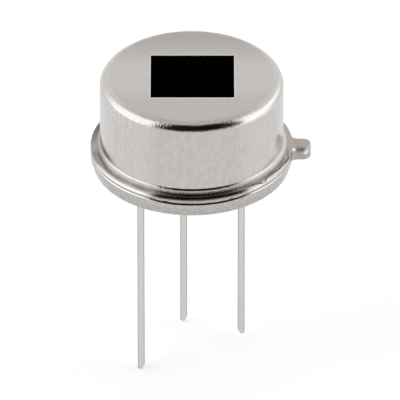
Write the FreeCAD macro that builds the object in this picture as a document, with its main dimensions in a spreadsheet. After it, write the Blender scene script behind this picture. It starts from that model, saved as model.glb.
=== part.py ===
import FreeCAD, Part
import math
import os

import Sketcher

# Infrared motion sensor in a round metal can.
# A drawn can with a filter window is seated in a round header with a tab.
# Three leads pass through the header: two in glass, one brazed to it.
# Inside, a ceramic board on the leads carries the pyroelectric element,
# the transistor and the gate resistor.
# Origin: centre of the header's underside. +Z is up, away from the leads.
# +X runs along the long side of the window, and the tab points that way.

SIZES = [
    # Header: the round base plate with its tab
    ("header_height", 1.0),
    ("rim_width", 0.425),
    ("rim_thickness", 0.6),
    ("rim_upper_edge", 0.06),
    ("body_taper_depth", 0.12),
    ("body_lower_edge", 0.04),
    ("platform_clearance", 0.075),
    ("platform_rise", 0.1),
    ("tab_length", 0.81),
    ("tab_width", 0.8),
    ("tab_corner", 0.3),
    ("tab_root_radius", 0.28),
    # Can: one drawn piece of thin steel
    ("can_diameter", 8.25),
    ("can_height", 3.6),
    ("sheet_thickness", 0.25),
    ("shoulder_radius", 0.55),
    ("foot_radius", 0.14),
    ("foot_turn", 66.0),
    ("inner_foot_bevel", 0.2),
    ("flange_width", 0.155),
    ("flange_thickness", 0.172),
    ("flange_edge", 0.06),
    # Window: the opening in the can, and the filter behind its thin lip
    ("opening_length", 3.73),
    ("opening_width", 3.4),
    ("opening_bevel", 0.05),
    ("lip_thickness", 0.08),
    ("filter_overlap", 0.25),
    ("filter_thickness", 0.4),
    ("filter_clearance", 0.05),
    ("bead_width", 0.3),
    ("bead_depth", 0.18),
    ("bead_bevel", 0.1),
    # Leads
    ("wire_diameter", 0.3),
    ("tinning_thickness", 0.01),
    ("tinning_taper", 0.54),
    ("pin_circle", 5.2),
    ("drain_angle", 30.2),
    ("source_angle", 98.2),
    ("ground_angle", 208.1),
    ("drain_length", 10.1),
    ("source_length", 10.25),
    ("ground_length", 10.32),
    ("lead_stub", 0.4),
    ("tip_cut_width", 0.14),
    ("tip_cut_height", 0.21),
    # Seals round the leads
    ("seal_diameter", 1.2),
    ("seal_recess", 0.08),
    ("seal_creep", 0.06),
    ("braze_diameter", 0.6),
    # Board on the leads
    ("board_gap", 1.1),
    ("board_clearance", 0.475),
    ("board_thickness", 0.4),
    ("board_hole_clearance", 0.06),
    ("solder_spread", 0.14),
    ("solder_height", 0.25),
    ("track_thickness", 0.02),
    ("track_width", 0.22),
    ("track_ring_width", 0.18),
    # Pyroelectric element on its two supports
    ("element_length", 3.6),
    ("element_width", 2.2),
    ("element_thickness", 0.15),
    ("support_length", 0.5),
    ("support_width", 1.2),
    ("support_height", 0.35),
    ("adhesive_thickness", 0.05),
    ("adhesive_width", 0.8),
    ("electrode_length", 1.0),
    ("electrode_width", 2.0),
    ("electrode_spacing", 2.0),
    ("electrode_thickness", 0.02),
    ("bridge_width", 0.1),
    # Transistor under the board
    ("transistor_length", 1.9),
    ("transistor_width", 1.2),
    ("transistor_height", 0.7),
    ("transistor_bevel", 0.08),
    ("transistor_standoff", 0.06),
    ("transistor_right", 0.95),
    ("transistor_back", -0.75),
    ("leg_pitch", 1.3),
    ("leg_width", 0.25),
    ("leg_thickness", 0.1),
    ("leg_reach", 0.16),
    ("leg_foot", 0.26),
    # Gate resistor under the board
    ("resistor_length", 1.6),
    ("resistor_width", 0.8),
    ("resistor_height", 0.4),
    ("resistor_right", -0.85),
    ("resistor_back", -1.9),
    ("terminal_length", 0.3),
    ("terminal_thickness", 0.03),
]

# Heights and places that several pieces share, as expressions on the sheet.
CAN_RADIUS = "(sizes.can_diameter / 2)"
INNER_WALL = "(sizes.can_diameter / 2 - sizes.sheet_thickness)"
HEADER_RADIUS = f"({CAN_RADIUS} + sizes.rim_width)"
PLATFORM_RADIUS = f"({INNER_WALL} - sizes.platform_clearance)"
BOARD_RADIUS = f"({INNER_WALL} - sizes.board_clearance)"
TAB_REACH = f"({HEADER_RADIUS} + sizes.tab_length)"
HEADER_TOP = "sizes.header_height"
RIM_BOTTOM = "(sizes.header_height - sizes.rim_thickness)"
FLANGE_RADIUS = f"({CAN_RADIUS} + sizes.flange_width)"
FLANGE_TOP = "(sizes.header_height + sizes.flange_thickness)"
FOOT_X = f"({CAN_RADIUS} + sizes.foot_radius)"
FOOT_Z = f"({FLANGE_TOP} + sizes.foot_radius * sin(sizes.foot_turn))"
PLATFORM_TOP = "(sizes.header_height + sizes.platform_rise)"
CAN_TOP = "(sizes.header_height + sizes.can_height)"
CAN_UNDERSIDE = f"({CAN_TOP} - sizes.sheet_thickness)"
FILTER_TOP = f"({CAN_TOP} - sizes.lip_thickness)"
FILTER_HALF_LENGTH = "(sizes.opening_length / 2 + sizes.filter_overlap)"
FILTER_HALF_WIDTH = "(sizes.opening_width / 2 + sizes.filter_overlap)"
BOARD_BOTTOM = f"({PLATFORM_TOP} + sizes.board_gap)"
BOARD_TOP = f"({BOARD_BOTTOM} + sizes.board_thickness)"
TRACK_BOTTOM = f"({BOARD_BOTTOM} - sizes.track_thickness)"
WIRE_RADIUS = "(sizes.wire_diameter / 2)"
TINNED_RADIUS = "(sizes.wire_diameter / 2 + sizes.tinning_thickness)"
SEAL_FOOT = "(sizes.seal_recess - sizes.seal_creep)"
BOARD_HOLE = f"({WIRE_RADIUS} + sizes.board_hole_clearance)"
SUPPORT_TOP = f"({BOARD_TOP} + sizes.support_height)"
ADHESIVE_TOP = f"({SUPPORT_TOP} + sizes.adhesive_thickness)"
ELEMENT_BOTTOM = f"({ADHESIVE_TOP} + sizes.electrode_thickness)"
ELEMENT_TOP = f"({ELEMENT_BOTTOM} + sizes.element_thickness)"
TRANSISTOR_TOP = f"({TRACK_BOTTOM} - sizes.transistor_standoff)"
TRANSISTOR_BOTTOM = f"({TRANSISTOR_TOP} - sizes.transistor_height)"
LEADS = ("drain", "source", "ground")

SAME = 1e-5
Z_AXIS = FreeCAD.Vector(0, 0, 1)
pieces = []

document = FreeCAD.newDocument("motion_sensor")
sheet = document.addObject("Spreadsheet::Sheet", "sizes")
for row, (alias, size) in enumerate(SIZES, start=1):
    sheet.set(f"A{row}", str(size))
    sheet.setAlias(f"A{row}", alias)
document.recompute()


def value(expression):
    """The number that an expression on the sheet has now."""
    return float(sheet.evalExpression(expression))


def new_piece(kind, name):
    """An empty object that becomes a piece and gets a file of its own."""
    piece = document.addObject(kind, name)
    piece.Label = name
    pieces.append(piece)
    return piece


def new_body(name):
    """An empty body with the name of its piece."""
    return new_piece("PartDesign::Body", name)


def new_sketch(body, name, role, height="0"):
    """A sketch on one of the body's own planes, raised by height along its normal."""
    sketch = body.newObject("Sketcher::SketchObject", name)
    planes = [item for item in body.Origin.OriginFeatures if item.Role == role]
    sketch.AttachmentSupport = (planes[0], [""])
    sketch.MapMode = "FlatFace"
    if height != "0":
        sketch.setExpression("AttachmentOffset.Base.z", height)
    return sketch


def bind(sketch, constraint, expression):
    """Add a constraint, and tie its value to the sheet."""
    index = sketch.addConstraint(constraint)
    if "sizes." in expression:
        sketch.setExpression(f"Constraints[{index}]", expression)


def run_between(first, last, bend):
    """A straight run, or an arc of a radius: positive turns left, negative right."""
    if bend is None:
        return Part.LineSegment(first, last), 1, 2
    radius = abs(value(bend))
    turn = math.copysign(1, value(bend))
    chord = last - first
    rise = math.sqrt(max(radius ** 2 - chord.Length ** 2 / 4, 0))
    across = FreeCAD.Vector(-chord.y, chord.x, 0).normalize()
    centre = (first + last) / 2 + across * rise * turn
    ends = [math.atan2(spot.y - centre.y, spot.x - centre.x) for spot in (first, last)]
    circle = Part.Circle(centre, Z_AXIS, radius)
    if turn > 0:
        return Part.ArcOfCircle(circle, ends[0], ends[1]), 1, 2
    return Part.ArcOfCircle(circle, ends[1], ends[0]), 2, 1


def outline(sketch, corners):
    """A closed outline. A corner is x, y and the bend of the run that leaves it."""
    spots = [FreeCAD.Vector(value(x), value(y), 0) for x, y, bend in corners]
    count = len(corners)
    runs = []
    for index, (x, y, bend) in enumerate(corners):
        run, start, end = run_between(spots[index], spots[(index + 1) % count], bend)
        runs.append((sketch.addGeometry(run, False), start, end))
    for index, (x, y, bend) in enumerate(corners):
        edge, start, end = runs[index]
        following, following_start, following_end = runs[(index + 1) % count]
        sketch.addConstraint(
            Sketcher.Constraint("Coincident", edge, end, following, following_start))
        bind(sketch, Sketcher.Constraint("DistanceX", -1, 1, edge, start, value(x)), x)
        bind(sketch, Sketcher.Constraint("DistanceY", -1, 1, edge, start, value(y)), y)
        if bend is not None:
            size = f"abs({bend})"
            bind(sketch, Sketcher.Constraint("Radius", edge, value(size)), size)


def ring(sketch, x, y, radius):
    """A full circle in a sketch."""
    centre = FreeCAD.Vector(value(x), value(y), 0)
    edge = sketch.addGeometry(Part.Circle(centre, Z_AXIS, value(radius)), False)
    bind(sketch, Sketcher.Constraint("DistanceX", -1, 1, edge, 3, value(x)), x)
    bind(sketch, Sketcher.Constraint("DistanceY", -1, 1, edge, 3, value(y)), y)
    bind(sketch, Sketcher.Constraint("Radius", edge, value(radius)), radius)


def rectangle(half_x, half_y, middle_x="0", middle_y="0"):
    """Corners of a rectangle about its middle."""
    sides = ((-1, -1), (1, -1), (1, 1), (-1, 1))
    return [(f"{middle_x} + {x} * ({half_x})", f"{middle_y} + {y} * ({half_y})", None)
            for x, y in sides]


def pad(body, name, sketch, length):
    """Solid from a sketch, along the sketch's normal."""
    feature = body.newObject("PartDesign::Pad", name)
    feature.Profile = sketch
    feature.setExpression("Length", length)
    document.recompute()
    return feature


def pocket(body, name, sketch, depth, upward=False):
    """Cut from a sketch, against its normal, or along it where upward is set."""
    before = body.Shape.Volume
    feature = body.newObject("PartDesign::Pocket", name)
    feature.Profile = sketch
    feature.Reversed = upward
    feature.setExpression("Length", depth)
    document.recompute()
    if feature.Shape.Volume > before - SAME:
        raise RuntimeError(f"{name} cut nothing from {body.Label}")
    return feature


def turned(body, name, sketch):
    """Solid of revolution of a sketch about the upright axis."""
    feature = body.newObject("PartDesign::Revolution", name)
    feature.Profile = sketch
    feature.ReferenceAxis = (sketch, ["V_Axis"])
    feature.Angle = 360
    document.recompute()
    return feature


def edges_of(feature, test):
    """Names of the edges that pass a test."""
    return [f"Edge{index}" for index, edge in enumerate(feature.Shape.Edges, start=1)
            if test(edge)]


def level_at(height):
    """Test for an edge that lies level at a height."""
    level = value(height)
    return lambda edge: (abs(edge.BoundBox.ZMin - level) < SAME
                         and abs(edge.BoundBox.ZMax - level) < SAME)


def upright_at(nearest, farthest):
    """Test for an upright edge whose distance from the axis lies in a range."""
    def test(edge):
        box = edge.BoundBox
        distance = math.hypot(box.Center.x, box.Center.y)
        return box.ZLength > SAME > max(box.XLength, box.YLength) and nearest < distance < farthest
    return test


def fillet(body, name, base, edges, radius):
    """Rounded edges of a feature."""
    feature = body.newObject("PartDesign::Fillet", name)
    feature.Base = (base, edges)
    feature.setExpression("Radius", radius)
    document.recompute()
    return feature


def chamfer(body, name, base, edges, size):
    """Bevelled edges of a feature."""
    feature = body.newObject("PartDesign::Chamfer", name)
    feature.Base = (base, edges)
    feature.setExpression("Size", size)
    document.recompute()
    return feature


def lead_place(lead):
    """Where a lead stands on the pin circle, as a pair of expressions."""
    return (f"(sizes.pin_circle / 2 * cos(sizes.{lead}_angle))",
            f"(sizes.pin_circle / 2 * sin(sizes.{lead}_angle))")


def stand_on_pin_circle(body, lead):
    """Move a body to the place of its lead."""
    x, y = lead_place(lead)
    body.setExpression("Placement.Base.x", x)
    body.setExpression("Placement.Base.y", y)


def set_block(block, sides, corner):
    """Size a plain block, and put its lowest corner at a place."""
    for side, length in zip(("Length", "Width", "Height"), sides):
        block.setExpression(side, length)
    for axis, place in zip("xyz", corner):
        block.setExpression(f"Placement.Base.{axis}", place)


def make_header():
    """Rim and tab in one piece, with a tapered body below and a platform above."""
    body = new_body("header")
    radius = value(HEADER_RADIUS)

    rim_sketch = new_sketch(body, "rim_sketch", "XY_Plane", RIM_BOTTOM)
    ring(rim_sketch, "0", "0", HEADER_RADIUS)
    pad(body, "rim", rim_sketch, "sizes.rim_thickness")

    tab_sketch = new_sketch(body, "tab_sketch", "XY_Plane", RIM_BOTTOM)
    half_length = f"(({TAB_REACH} - {PLATFORM_RADIUS}) / 2)"
    middle = f"(({TAB_REACH} + {PLATFORM_RADIUS}) / 2)"
    outline(tab_sketch, rectangle(half_length, "sizes.tab_width / 2", middle))
    blank = pad(body, "tab", tab_sketch, "sizes.rim_thickness")

    roots = edges_of(blank, upright_at(radius - SAME, radius + SAME))
    blank = fillet(body, "tab_roots", blank, roots, "sizes.tab_root_radius")
    tip_reach = math.hypot(value(TAB_REACH), value("sizes.tab_width / 2"))
    tips = edges_of(blank, upright_at(tip_reach - SAME, tip_reach + SAME))
    blank = fillet(body, "tab_corners", blank, tips, "sizes.tab_corner")
    fillet(body, "rim_upper_rounding", blank, edges_of(blank, level_at(HEADER_TOP)),
           "sizes.rim_upper_edge")

    # The body under the rim leans in towards a bevelled lower edge.
    lower = f"({HEADER_RADIUS} - sizes.body_taper_depth)"
    body_section = new_sketch(body, "body_section", "XZ_Plane")
    outline(body_section, [
        ("0", "0", None),
        (f"({lower} - sizes.body_lower_edge)", "0", None),
        (lower, "sizes.body_lower_edge", None),
        (HEADER_RADIUS, RIM_BOTTOM, None),
        ("0", RIM_BOTTOM, None),
    ])
    turned(body, "tapered_body", body_section)

    platform_sketch = new_sketch(body, "platform_sketch", "XY_Plane", HEADER_TOP)
    ring(platform_sketch, "0", "0", PLATFORM_RADIUS)
    pad(body, "platform", platform_sketch, "sizes.platform_rise")

    bore_sketch = new_sketch(body, "lead_bores_sketch", "XY_Plane", PLATFORM_TOP)
    for lead in LEADS:
        ring(bore_sketch, *lead_place(lead), f"({bore_of(lead)} / 2)")
    pocket(body, "lead_bores", bore_sketch, PLATFORM_TOP)


def on_bend(x, y, radius, turn):
    """A corner on a bend about a centre, at an angle in degrees."""
    return (f"({x} + {radius} * cos({turn}))", f"({y} + {radius} * sin({turn}))", None)


def make_can():
    """Drawn can: flat top, rounded shoulder, straight wall and turned-out flange."""
    body = new_body("can")
    shoulder = f"({CAN_RADIUS} - sizes.shoulder_radius)"
    shoulder_height = f"({CAN_TOP} - sizes.shoulder_radius)"
    inner_shoulder = "(sizes.shoulder_radius - sizes.sheet_thickness)"

    # The foot turns out into a thin flange on the header. Its small bends,
    # and the ones inside the can, are flat bevels.
    section = new_sketch(body, "can_section", "XZ_Plane")
    outline(section, [
        ("0", CAN_TOP, None),
        (shoulder, CAN_TOP, "-sizes.shoulder_radius"),
        (CAN_RADIUS, shoulder_height, None),
        (CAN_RADIUS, FOOT_Z, None),
        on_bend(FOOT_X, FOOT_Z, "sizes.foot_radius", "(180 + sizes.foot_turn / 2)"),
        on_bend(FOOT_X, FOOT_Z, "sizes.foot_radius", "(180 + sizes.foot_turn)"),
        (f"({FLANGE_RADIUS} - sizes.flange_edge)", FLANGE_TOP, None),
        (FLANGE_RADIUS, f"({FLANGE_TOP} - sizes.flange_edge)", None),
        (FLANGE_RADIUS, HEADER_TOP, None),
        (f"({INNER_WALL} + sizes.inner_foot_bevel)", HEADER_TOP, None),
        (INNER_WALL, FOOT_Z, None),
        (INNER_WALL, shoulder_height, None),
        on_bend(shoulder, shoulder_height, inner_shoulder, "45"),
        (shoulder, CAN_UNDERSIDE, None),
        ("0", CAN_UNDERSIDE, None),
    ])
    turned(body, "drawn_can", section)

    opening_sketch = new_sketch(body, "opening_sketch", "XY_Plane", CAN_TOP)
    outline(opening_sketch, rectangle("sizes.opening_length / 2", "sizes.opening_width / 2"))
    pocket(body, "opening", opening_sketch, "sizes.sheet_thickness")

    # The underside is coined thin round the opening, as a seat for the filter.
    coined_sketch = new_sketch(body, "filter_seat_sketch", "XY_Plane", CAN_UNDERSIDE)
    outline(coined_sketch, rectangle(f"{FILTER_HALF_LENGTH} + sizes.filter_clearance",
                                     f"{FILTER_HALF_WIDTH} + sizes.filter_clearance"))
    coined = pocket(body, "filter_seat", coined_sketch,
                    "sizes.sheet_thickness - sizes.lip_thickness", upward=True)

    half_opening = math.hypot(value("sizes.opening_length"), value("sizes.opening_width")) / 2
    at_top = level_at(CAN_TOP)
    lip_edges = edges_of(coined, lambda edge: at_top(edge) and edge.BoundBox.DiagonalLength
                         < half_opening * 2 and math.hypot(
                             edge.BoundBox.Center.x, edge.BoundBox.Center.y) > SAME)
    chamfer(body, "opening_rim", coined, lip_edges, "sizes.opening_bevel")


def make_filter():
    """Coated filter plate behind the opening, and the bead that holds it."""
    plate = new_body("filter_window")
    plate_sketch = new_sketch(plate, "filter_sketch", "XY_Plane",
                              f"{FILTER_TOP} - sizes.filter_thickness")
    outline(plate_sketch, rectangle(FILTER_HALF_LENGTH, FILTER_HALF_WIDTH))
    pad(plate, "filter_plate", plate_sketch, "sizes.filter_thickness")

    bead = new_body("window_bead")
    fill_sketch = new_sketch(bead, "bead_fill_sketch", "XY_Plane", CAN_UNDERSIDE)
    outline(fill_sketch, rectangle(f"{FILTER_HALF_LENGTH} + sizes.filter_clearance",
                                   f"{FILTER_HALF_WIDTH} + sizes.filter_clearance"))
    outline(fill_sketch, rectangle(FILTER_HALF_LENGTH, FILTER_HALF_WIDTH))
    pad(bead, "bead_fill", fill_sketch, "sizes.sheet_thickness - sizes.lip_thickness")

    foot_bottom = f"({CAN_UNDERSIDE} - sizes.bead_depth)"
    foot_sketch = new_sketch(bead, "bead_foot_sketch", "XY_Plane", foot_bottom)
    outline(foot_sketch, rectangle(f"{FILTER_HALF_LENGTH} + sizes.bead_width",
                                   f"{FILTER_HALF_WIDTH} + sizes.bead_width"))
    outline(foot_sketch, rectangle(FILTER_HALF_LENGTH, FILTER_HALF_WIDTH))
    foot = pad(bead, "bead_foot", foot_sketch, "sizes.bead_depth")
    at_bottom = level_at(foot_bottom)
    half_length = value(FILTER_HALF_LENGTH)
    half_width = value(FILTER_HALF_WIDTH)
    outer = edges_of(foot, lambda edge: at_bottom(edge) and (
        edge.BoundBox.XMax > half_length + SAME or edge.BoundBox.XMin < -half_length - SAME
        or edge.BoundBox.YMax > half_width + SAME or edge.BoundBox.YMin < -half_width - SAME))
    chamfer(bead, "bead_slope", foot, outer, "sizes.bead_bevel")


def make_lead(lead, turn):
    """Round wire with its tip cut on the side that turn faces.

    The tinning thins out towards the seal.
    """
    body = new_body(f"{lead}_lead")
    tip = f"(-sizes.{lead}_length)"
    top = f"({BOARD_TOP} + sizes.lead_stub)"
    section = new_sketch(body, f"{lead}_wire_section", "XZ_Plane")
    outline(section, [
        ("0", tip, None),
        (TINNED_RADIUS, tip, None),
        (TINNED_RADIUS, f"({SEAL_FOOT} - sizes.tinning_taper)", None),
        (WIRE_RADIUS, SEAL_FOOT, None),
        (WIRE_RADIUS, top, None),
        ("0", top, None),
    ])
    turned(body, f"{lead}_wire", section)

    # The slope runs on past the wire at both ends, so that it cuts right through.
    cut_sketch = new_sketch(body, f"{lead}_tip_sketch", "XZ_Plane")
    outside = f"({TINNED_RADIUS} + sizes.tip_cut_width)"
    outline(cut_sketch, [
        (f"({TINNED_RADIUS} - 2 * sizes.tip_cut_width)", f"({tip} - sizes.tip_cut_height)", None),
        (outside, f"({tip} - sizes.tip_cut_height)", None),
        (outside, f"({tip} + 2 * sizes.tip_cut_height)", None),
    ])
    cut = body.newObject("PartDesign::Pocket", f"{lead}_tip_cut")
    cut.Profile = cut_sketch
    cut.SideType = "Symmetric"
    cut.setExpression("Length", f"4 * {TINNED_RADIUS}")
    body.Placement = FreeCAD.Placement(FreeCAD.Vector(), FreeCAD.Rotation(Z_AXIS, turn))
    stand_on_pin_circle(body, lead)


def bore_of(lead):
    """Diameter of the bore that a lead passes through in the header."""
    return "sizes.braze_diameter" if lead == "ground" else "sizes.seal_diameter"


def make_seal(name, lead):
    """Glass or braze that fills a lead's bore, and rises along the wire at both faces."""
    body = new_body(name)
    section = new_sketch(body, f"{lead}_seal_section", "XZ_Plane")
    bore = f"({bore_of(lead)} / 2)"
    outline(section, [
        (WIRE_RADIUS, SEAL_FOOT, None),
        (WIRE_RADIUS, f"({PLATFORM_TOP} - {SEAL_FOOT})", None),
        (bore, f"({PLATFORM_TOP} - sizes.seal_recess)", None),
        (bore, "sizes.seal_recess", None),
    ])
    turned(body, f"{lead}_seal", section)
    stand_on_pin_circle(body, lead)


def make_board():
    """Round ceramic board with a hole for each lead."""
    body = new_body("ceramic_board")
    sketch = new_sketch(body, "board_sketch", "XY_Plane", BOARD_BOTTOM)
    ring(sketch, "0", "0", BOARD_RADIUS)
    for lead in LEADS:
        ring(sketch, *lead_place(lead), BOARD_HOLE)
    pad(body, "board", sketch, "sizes.board_thickness")


def make_solder(lead):
    """Solder that fills a board hole, and forms a cone on the track under the board."""
    body = new_body(f"{lead}_solder")
    section = new_sketch(body, f"{lead}_solder_section", "XZ_Plane")
    outline(section, [
        (WIRE_RADIUS, f"({TRACK_BOTTOM} - sizes.solder_height)", None),
        (f"({BOARD_HOLE} + sizes.solder_spread)", TRACK_BOTTOM, None),
        (BOARD_HOLE, TRACK_BOTTOM, None),
        (BOARD_HOLE, BOARD_TOP, None),
        (WIRE_RADIUS, BOARD_TOP, None),
    ])
    turned(body, f"{lead}_solder_joint", section)
    stand_on_pin_circle(body, lead)


def make_element():
    """Thin pyroelectric plate with its electrodes, on two supports."""
    end = "(sizes.element_length / 2)"
    rear_length = f"({end} - (sizes.electrode_spacing - sizes.electrode_length) / 2)"
    for side in ("left", "right"):
        def start_of(length):
            return f"(-{end})" if side == "left" else f"({end} - {length})"
        set_block(
            new_piece("Part::Box", f"{side}_element_support"),
            ("sizes.support_length", "sizes.support_width", "sizes.support_height"),
            (start_of("sizes.support_length"), "-sizes.support_width / 2", BOARD_TOP))
        set_block(
            new_piece("Part::Box", f"{side}_adhesive_pad"),
            ("sizes.support_length", "sizes.adhesive_width", "sizes.adhesive_thickness"),
            (start_of("sizes.support_length"), "-sizes.adhesive_width / 2", SUPPORT_TOP))
        # Each rear electrode runs out over its adhesive pad to the plate's end.
        set_block(
            new_piece("Part::Box", f"{side}_rear_electrode"),
            (rear_length, "sizes.electrode_width", "sizes.electrode_thickness"),
            (start_of(rear_length), "-sizes.electrode_width / 2", ADHESIVE_TOP))
    set_block(
        new_piece("Part::Box", "pyro_element"),
        ("sizes.element_length", "sizes.element_width", "sizes.element_thickness"),
        (f"(-{end})", "-sizes.element_width / 2", ELEMENT_BOTTOM))

    body = new_body("front_electrodes")
    sketch = new_sketch(body, "front_electrode_sketch", "XY_Plane", ELEMENT_TOP)
    inner = "((sizes.electrode_spacing - sizes.electrode_length) / 2)"
    outer = "((sizes.electrode_spacing + sizes.electrode_length) / 2)"
    half = "(sizes.electrode_width / 2)"
    bridge = "(sizes.bridge_width / 2)"
    outline(sketch, [
        (f"-{outer}", f"-{half}", None),
        (f"-{inner}", f"-{half}", None),
        (f"-{inner}", f"-{bridge}", None),
        (inner, f"-{bridge}", None),
        (inner, f"-{half}", None),
        (outer, f"-{half}", None),
        (outer, half, None),
        (inner, half, None),
        (inner, bridge, None),
        (f"-{inner}", bridge, None),
        (f"-{inner}", half, None),
        (f"-{outer}", half, None),
    ])
    pad(body, "front_electrode", sketch, "sizes.electrode_thickness")


def leg_places():
    """Each transistor leg's name, its place along the body and the side it leaves."""
    return (("gate", "0", -1),
            ("drain", "(sizes.leg_pitch / 2)", 1),
            ("source", "(-sizes.leg_pitch / 2)", 1))


def make_transistor():
    """Moulded transistor that hangs under the board on three bent legs."""
    body = new_body("transistor_body")
    sketch = new_sketch(body, "transistor_sketch", "XY_Plane", TRANSISTOR_BOTTOM)
    outline(sketch, rectangle("sizes.transistor_length / 2", "sizes.transistor_width / 2"))
    block = pad(body, "moulding", sketch, "sizes.transistor_height")
    bevelled = edges_of(block, level_at(TRANSISTOR_BOTTOM))
    chamfer(body, "moulding_bevel", block, bevelled, "sizes.transistor_bevel")
    body.setExpression("Placement.Base.x", "sizes.transistor_right")
    body.setExpression("Placement.Base.y", "sizes.transistor_back")

    # A leg leaves the moulding at half height, turns up and ends in a flat foot.
    face = "(sizes.transistor_width / 2)"
    knee = f"({face} + sizes.leg_reach)"
    middle = f"({TRANSISTOR_BOTTOM} + sizes.transistor_height / 2)"
    foot = f"({TRACK_BOTTOM} - sizes.leg_thickness)"
    end = f"({knee} + sizes.leg_foot)"
    for name, along, side in leg_places():
        leg = new_body(f"transistor_{name}_leg")
        section = new_sketch(leg, f"{name}_leg_section", "YZ_Plane")
        outline(section, [
            (face, f"({middle} - sizes.leg_thickness / 2)", None),
            (knee, f"({middle} - sizes.leg_thickness / 2)", None),
            (knee, foot, None),
            (end, foot, None),
            (end, TRACK_BOTTOM, None),
            (f"({knee} - sizes.leg_thickness)", TRACK_BOTTOM, None),
            (f"({knee} - sizes.leg_thickness)", f"({middle} + sizes.leg_thickness / 2)", None),
            (face, f"({middle} + sizes.leg_thickness / 2)", None),
        ])
        strip = pad(leg, f"{name}_leg_strip", section, "sizes.leg_width")
        strip.SideType = "Symmetric"
        turn = 0 if side > 0 else 180
        leg.Placement = FreeCAD.Placement(FreeCAD.Vector(), FreeCAD.Rotation(Z_AXIS, turn))
        leg.setExpression("Placement.Base.x", f"sizes.transistor_right + {along}")
        leg.setExpression("Placement.Base.y", "sizes.transistor_back")


def make_resistor():
    """Chip resistor with a plated terminal wrapped round each end."""
    skin = "sizes.terminal_thickness"
    bottom = f"({TRACK_BOTTOM} - sizes.resistor_height)"
    left = "(sizes.resistor_right - sizes.resistor_length / 2)"
    front = "(sizes.resistor_back - sizes.resistor_width / 2)"
    core_sides = (f"sizes.resistor_length - 2 * {skin}",
                  f"sizes.resistor_width - 2 * {skin}",
                  f"sizes.resistor_height - 2 * {skin}")
    core_corner = (f"{left} + {skin}", f"{front} + {skin}", f"{bottom} + {skin}")
    set_block(new_piece("Part::Box", "gate_resistor"), core_sides, core_corner)
    ends = (("ground", left),
            ("gate", f"{left} + sizes.resistor_length - sizes.terminal_length"))
    for name, start in ends:
        wrap = document.addObject("Part::Box", f"{name}_wrap")
        set_block(wrap, ("sizes.terminal_length", "sizes.resistor_width",
                         "sizes.resistor_height"), (start, front, bottom))
        core = document.addObject("Part::Box", f"{name}_wrap_core")
        set_block(core, core_sides, core_corner)
        terminal = new_piece("Part::Cut", f"resistor_{name}_terminal")
        terminal.Base = wrap
        terminal.Tool = core


def spot(x, y):
    """A place on the board, from two expressions."""
    return FreeCAD.Vector(value(x), value(y), value(TRACK_BOTTOM))


def film_pad(middle, length, width):
    """Rectangle of film with its middle at a place."""
    corner = middle - FreeCAD.Vector(length / 2, width / 2, 0)
    return Part.makeBox(length, width, value("sizes.track_thickness"), corner)


def film_strip(first, last):
    """Strip of film with round ends between two places."""
    width = value("sizes.track_width")
    thickness = value("sizes.track_thickness")
    run = last - first
    bar = Part.makeBox(run.Length, width, thickness, FreeCAD.Vector(0, -width / 2, 0))
    heading = math.degrees(math.atan2(run.y, run.x))
    bar.Placement = FreeCAD.Placement(first, FreeCAD.Rotation(Z_AXIS, heading))
    return bar.fuse([Part.makeCylinder(width / 2, thickness, end) for end in (first, last)])


def make_tracks():
    """Thick-film tracks under the board, from each part to the next and to the leads."""
    foot = value("sizes.leg_foot")
    reach = "(sizes.transistor_width / 2 + sizes.leg_reach + sizes.leg_foot / 2)"
    legs = {name: spot(f"sizes.transistor_right + {along}",
                       f"sizes.transistor_back + {side} * {reach}")
            for name, along, side in leg_places()}
    half_chip = "(sizes.resistor_length - sizes.terminal_length) / 2"
    terminals = {name: spot(f"sizes.resistor_right + {side} * {half_chip}",
                            "sizes.resistor_back")
                 for name, side in (("ground", -1), ("gate", 1))}
    leads = {lead: spot(*lead_place(lead)) for lead in LEADS}
    thickness = value("sizes.track_thickness")
    ring_radius = value(f"{BOARD_HOLE} + sizes.track_ring_width")
    rings = [Part.makeCylinder(ring_radius, thickness, place) for place in leads.values()]
    holes = [Part.makeCylinder(value(BOARD_HOLE), thickness, place) for place in leads.values()]
    leg_pads = [film_pad(place, foot, foot) for place in legs.values()]
    chip_pads = [film_pad(place, value("sizes.terminal_length"), value("sizes.resistor_width"))
                 for place in terminals.values()]
    strips = [film_strip(legs["drain"], leads["drain"]),
              film_strip(legs["source"], leads["source"]),
              film_strip(legs["gate"], terminals["gate"]),
              film_strip(terminals["ground"], leads["ground"])]
    film = strips[0].fuse(strips[1:] + rings + leg_pads + chip_pads).cut(holes)
    tracks = new_piece("Part::Feature", "board_tracks")
    tracks.Shape = film.removeSplitter()
    tracks.Placement = FreeCAD.Placement()


def check_document():
    """Stop where an object failed, or a piece has no sound solid."""
    document.recompute()
    for item in document.Objects:
        if "Invalid" in item.State or "Error" in item.State:
            raise RuntimeError(f"{item.Name} failed")
    for piece in pieces:
        if piece.Shape.isNull() or not piece.Shape.isValid() or not piece.Shape.Solids:
            raise RuntimeError(f"{piece.Label} has no sound solid")


def write_pieces():
    """Write each piece to a file of its own."""
    os.makedirs("parts", exist_ok=True)
    for piece in pieces:
        piece.Shape.exportStep(f"parts/{piece.Label}.step")


def main():
    """Build every piece, check it and write it out."""
    make_header()
    make_can()
    make_filter()
    for lead in LEADS:
        make_lead(lead, 180 if lead == "drain" else 0)
        make_solder(lead)
    make_seal("drain_glass_seal", "drain")
    make_seal("source_glass_seal", "source")
    make_seal("ground_braze", "ground")
    make_board()
    make_tracks()
    make_element()
    make_transistor()
    make_resistor()
    check_document()
    write_pieces()


main()
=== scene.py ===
import math

import bmesh
import bpy
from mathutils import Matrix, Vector, geometry


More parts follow.
